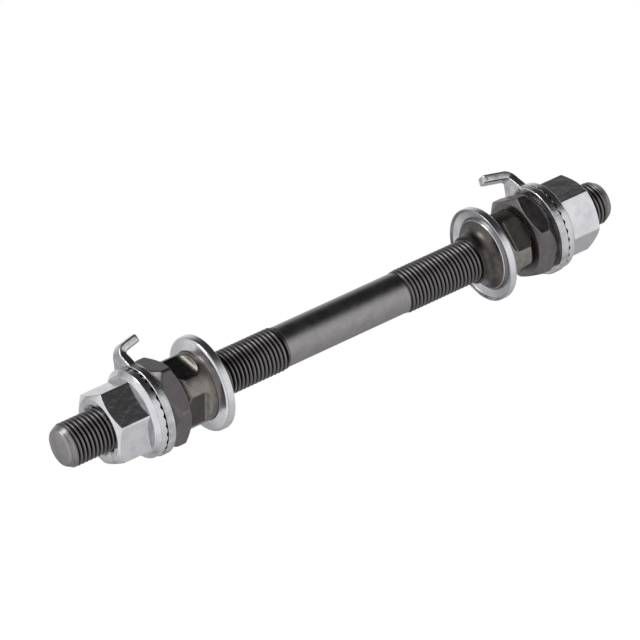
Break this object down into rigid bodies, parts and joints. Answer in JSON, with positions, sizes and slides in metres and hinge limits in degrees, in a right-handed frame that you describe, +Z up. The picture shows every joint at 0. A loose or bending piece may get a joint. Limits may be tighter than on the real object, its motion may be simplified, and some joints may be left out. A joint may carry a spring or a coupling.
{
  "type": "front hub axle",
  "caption": "Bolt-on front hub axle with a threaded shaft, bearing cones, pressed dust caps, hexagonal lock nuts, hooked retention washers and flanged axle nuts.",
  "frame": {"origin": "hub centre, on the axle's centre line halfway between the two bearing cones", "axes": "+Y along the axle towards the rider's left, +X forward, +Z up, the way the washers' hooks point"},
  "size_m": [0.0206, 0.14, 0.0257],
  "materials": {
    "rolled_steel": "dark oiled steel with rolled threads",
    "blackened_steel": "black oxide, satin, with a ground ball track",
    "chrome_plate": "bright plated"
  },
  "bodies": {
    "axle_unit": {"axle": "rolled_steel", "left_cone": "blackened_steel", "left_dust_cap": "chrome_plate", "left_lock_nut": "blackened_steel", "right_cone": "blackened_steel", "right_dust_cap": "chrome_plate", "right_lock_nut": "blackened_steel"},
    "left_washer": {"left_hook_washer": "chrome_plate"},
    "left_nut": {"left_axle_nut": "chrome_plate"},
    "right_washer": {"right_hook_washer": "chrome_plate"},
    "right_nut": {"right_axle_nut": "chrome_plate"}
  },
  "joints": [
    {"name": "left_washer_slide", "type": "slide", "parent": "axle_unit", "child": "left_washer", "axis": [0, 1, 0], "range_m": [0, 0.00588]},
    {"name": "left_nut_turn", "type": "hinge", "parent": "left_washer", "child": "left_nut", "pos_m": [0, 0.0518, 0], "axis": [0, 1, 0], "range_deg": [0, 2160]},
    {"name": "right_washer_slide", "type": "slide", "parent": "axle_unit", "child": "right_washer", "axis": [0, -1, 0], "range_m": [0, 0.00588]},
    {"name": "right_nut_turn", "type": "hinge", "parent": "right_washer", "child": "right_nut", "pos_m": [0, -0.0518, 0], "axis": [0, -1, 0], "range_deg": [0, 2160]}
  ],
  "couplings": [
    {"joint": "left_washer_slide", "follows": "left_nut_turn", "m_per_rad": 0.00015548},
    {"joint": "right_washer_slide", "follows": "right_nut_turn", "m_per_rad": 0.00015548}
  ]
}
